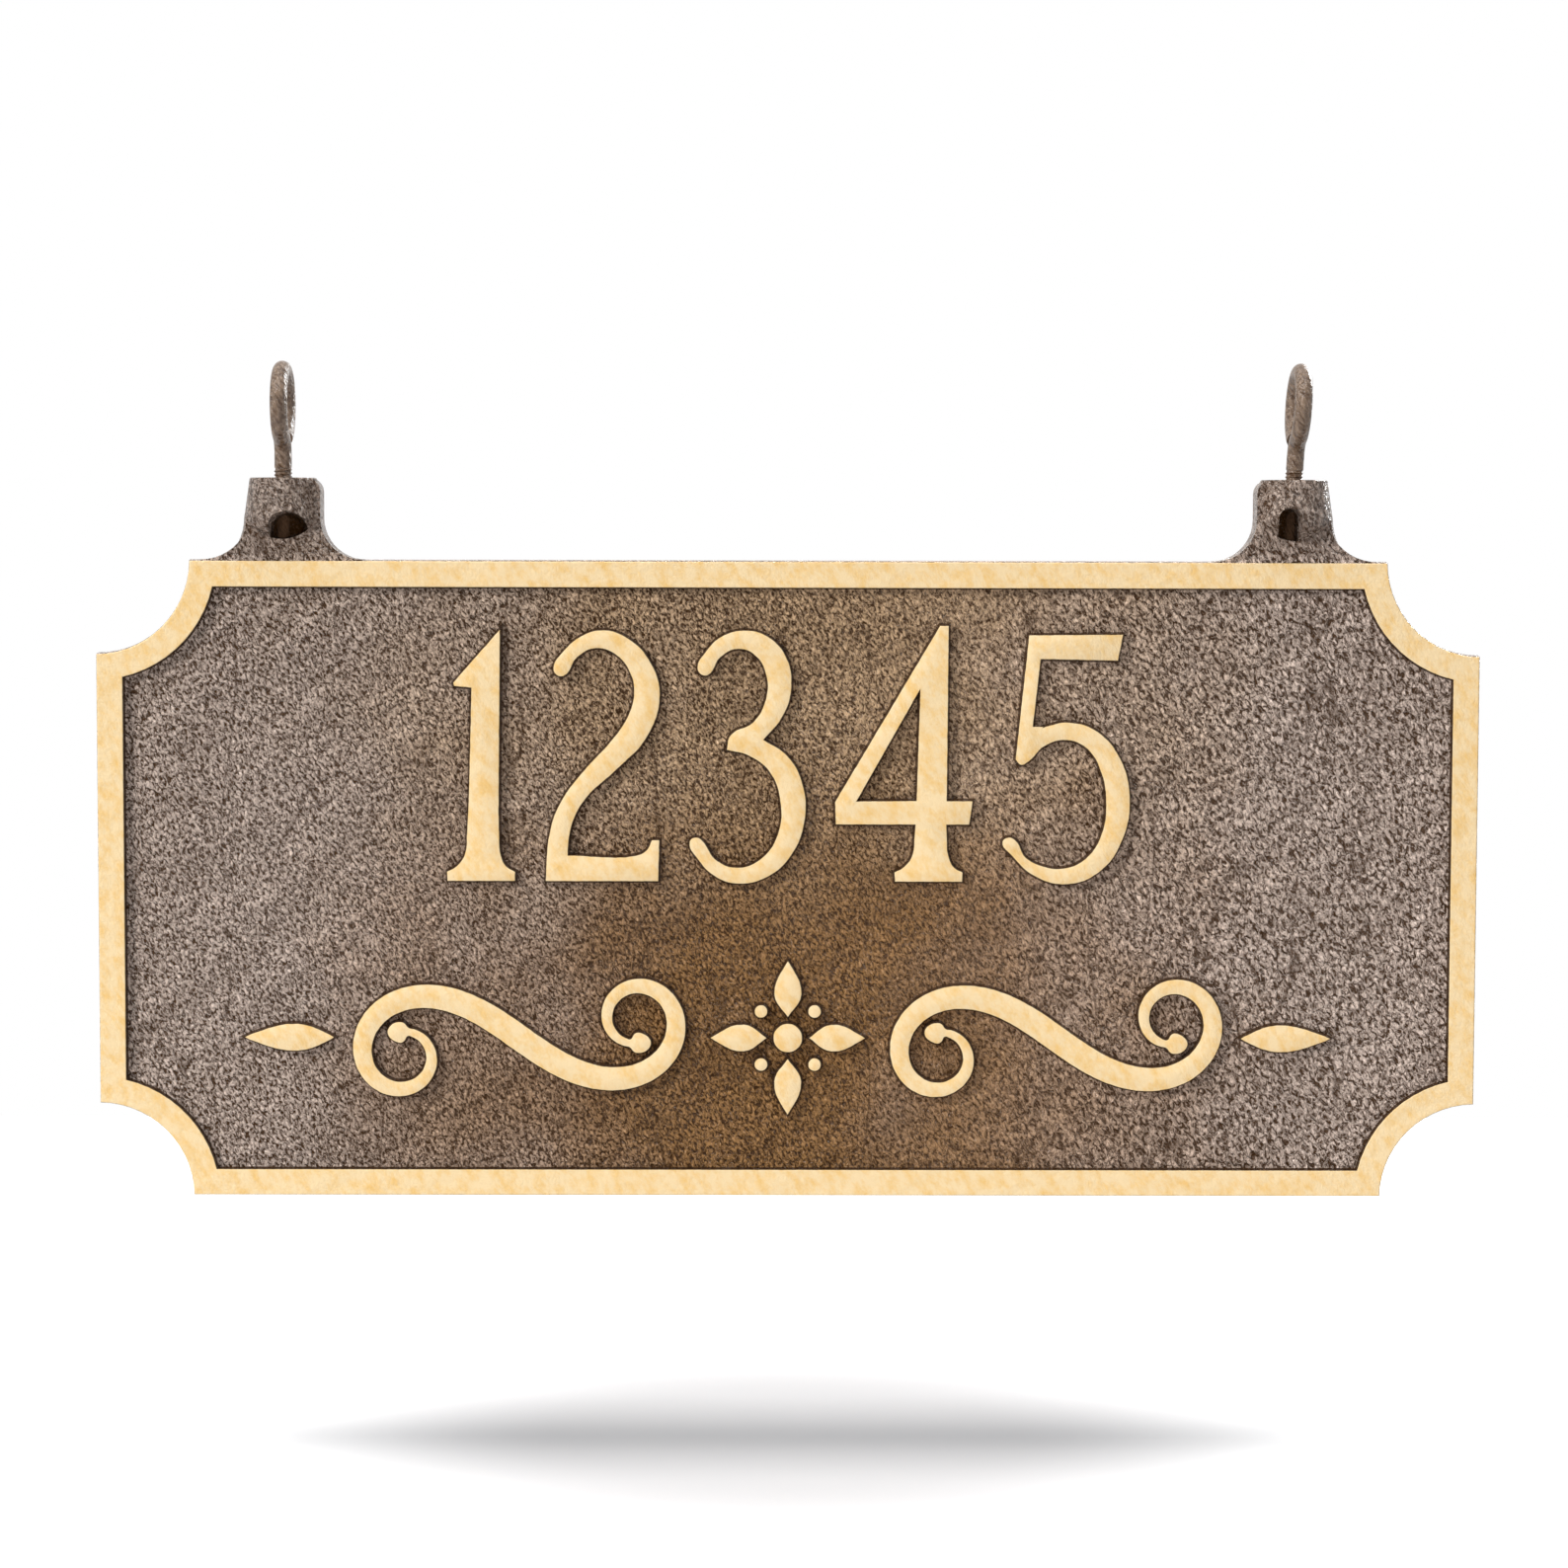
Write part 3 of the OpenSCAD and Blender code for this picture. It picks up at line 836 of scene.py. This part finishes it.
def lamp(name, aim, row, skipped=None, shape="RECTANGLE"):
    """Soft box turned to its aim, set out by a row as in the table above."""
    azimuth, elevation, distance, width, height, power, colour = row
    data = bpy.data.lights.new(name, "AREA")
    data.shape = shape
    data.size, data.size_y = width, height
    data.energy = power
    data.color = colour
    light = bpy.data.objects.new(name, data)
    bpy.context.scene.collection.objects.link(light)
    a, e = math.radians(azimuth), math.radians(elevation)
    away = Vector((math.sin(a) * math.cos(e), -math.cos(a) * math.cos(e), math.sin(e)))
    light.location = aim + away * distance
    light.rotation_euler = away.to_track_quat("Z", "Y").to_euler()
    if skipped:
        light.light_linking.receiver_collection = skipped


def white_for_viewers(tree, shown, given):
    """One strength for what the camera and the reflections see, and another for the light given."""
    path = add(tree, "LightPath").outputs
    seen = add(tree, "Math", {0: path["Is Camera Ray"], 1: path["Is Glossy Ray"]}, operation="MAXIMUM")
    seen = add(tree, "Math", {0: seen.outputs[0], 1: path["Is Transmission Ray"]}, operation="MAXIMUM")
    return add(tree, "Mix", {"Factor": seen.outputs[0], "A": given, "B": shown}).outputs["Result"]


def white_world():
    """White to look at, and dim as a light."""
    world = bpy.data.worlds.new("white_studio")
    world.use_nodes = True
    tree = world.node_tree
    tree.nodes.clear()
    strength = white_for_viewers(tree, 1.0, 0.15)
    sky = add(tree, "Background", {"Color": rgba(WHITE), "Strength": strength})
    add(tree, "OutputWorld", {"Surface": sky.outputs[0]})
    return world


def floor_paint():
    """Matt pale paint, which away from the sign fades to the white behind it: no edge shows."""
    material, tree = new_material("white_floor")
    paint = add(tree, "BsdfDiffuse", {"Color": rgba(linear("#eaeaec"))})
    place = add(tree, "TexCoord").outputs["Object"]
    oval = add(tree, "Mapping", {"Vector": place, "Scale": (*(1 / r for r in SHADOW_REACH), 0.0)})
    away = add(tree, "VectorMath", {0: oval.outputs[0]}, operation="LENGTH").outputs["Value"]
    fade = add(tree, "MapRange", {"Value": away, "From Min": 0.3, "From Max": 1.1, "To Min": 0.06},
               interpolation_type="SMOOTHSTEP").outputs[0]
    glow = add(tree, "Emission", {"Color": rgba(WHITE), "Strength": white_for_viewers(tree, fade, 0.0)})
    both = add(tree, "AddShader", {0: paint.outputs[0], 1: glow.outputs[0]})
    add(tree, "OutputMaterial", {"Surface": both.outputs[0]})
    return material


def pale_floor(height):
    """Flat floor below the sign."""
    shape = bmesh.new()
    bmesh.ops.create_grid(shape, x_segments=1, y_segments=1, size=0.6)
    bmesh.ops.translate(shape, verts=shape.verts, vec=(0, 0, height))
    mesh = bpy.data.meshes.new("floor")
    shape.to_mesh(mesh)
    shape.free()
    floor = bpy.data.objects.new("floor", mesh)
    bpy.context.scene.collection.objects.link(floor)
    mesh.materials.append(floor_paint())
    return floor


def place_camera(settings):
    """Camera just above the sign, looking a little down on it."""
    scene = bpy.context.scene
    data = bpy.data.cameras.new("camera")
    data.sensor_fit = "HORIZONTAL"
    data.sensor_width = 36.0
    data.lens = settings.lens
    data.clip_start, data.clip_end = 0.05, 30.0
    camera = bpy.data.objects.new("camera", data)
    scene.collection.objects.link(camera)
    camera.location = (-CAMERA_LEFT, -settings.distance, PLATE_MID.z + CAMERA_RISE)
    turned = (Matrix.Rotation(-CAMERA_YAW, 3, "Z") @ Matrix.Rotation(math.pi / 2 - CAMERA_PITCH, 3, "X")
              @ Matrix.Rotation(CAMERA_ROLL, 3, "Z"))
    camera.rotation_euler = turned.to_euler()
    scene.camera = camera


class SIGN_OT_stage(Operator):
    """Pale floor, soft boxes, sky and camera"""
    bl_idname = "sign.stage"
    bl_label = "Stage"

    def execute(self, context):
        scene = context.scene
        settings = scene.sign_stage
        scene.view_settings.view_transform = "Standard"
        scene.world = white_world()
        floor_height = CASTING_LOW.z - settings.floor_drop
        floor = pale_floor(floor_height)

        # The floor is lit from straight above alone, so that the sign's shadow lies under it
        unlit = bpy.data.collections.new("unlit_by_soft_boxes")
        unlit.objects.link(floor)
        unlit.collection_objects[0].light_linking.link_state = "EXCLUDE"
        for name, row in SOFT_BOXES.items():
            lamp(name, PLATE_MID, row, skipped=unlit)
        lamp("top_soft_box", Vector((0, 0, floor_height)), TOP_SOFT_BOX, shape="ELLIPSE")
        place_camera(settings)
        return {"FINISHED"}


class SIGN_PT_panel(Panel):
    """Every setting and operator of the sign"""
    bl_label = "Hanging Address Sign"
    bl_idname = "SIGN_PT_panel"
    bl_space_type = "VIEW_3D"
    bl_region_type = "UI"
    bl_category = "Sign"

    def draw(self, context):
        layout = self.layout
        for name, group in SETTINGS.items():
            box = layout.box()
            box.label(text=name.replace("_", " ").capitalize())
            for prop in group.__annotations__:
                box.prop(getattr(context.scene, name), prop)
        for operator in OPERATORS:
            layout.operator(operator.bl_idname)


OPERATORS = (SIGN_OT_finish, SIGN_OT_numerals, SIGN_OT_ornament, SIGN_OT_threads, SIGN_OT_stage)


def register():
    for item in (*SETTINGS.values(), *OPERATORS, SIGN_PT_panel):
        bpy.utils.register_class(item)
    for name, group in SETTINGS.items():
        setattr(bpy.types.Scene, name, PointerProperty(type=group))


def unregister():
    for name in SETTINGS:
        delattr(bpy.types.Scene, name)
    for item in reversed((*SETTINGS.values(), *OPERATORS, SIGN_PT_panel)):
        bpy.utils.unregister_class(item)


def main():
    register()
    bpy.ops.sign.finish()
    bpy.ops.sign.numerals()
    bpy.ops.sign.ornament()
    bpy.ops.sign.threads()
    bpy.ops.sign.stage()


if __name__ == "__main__":
    main()
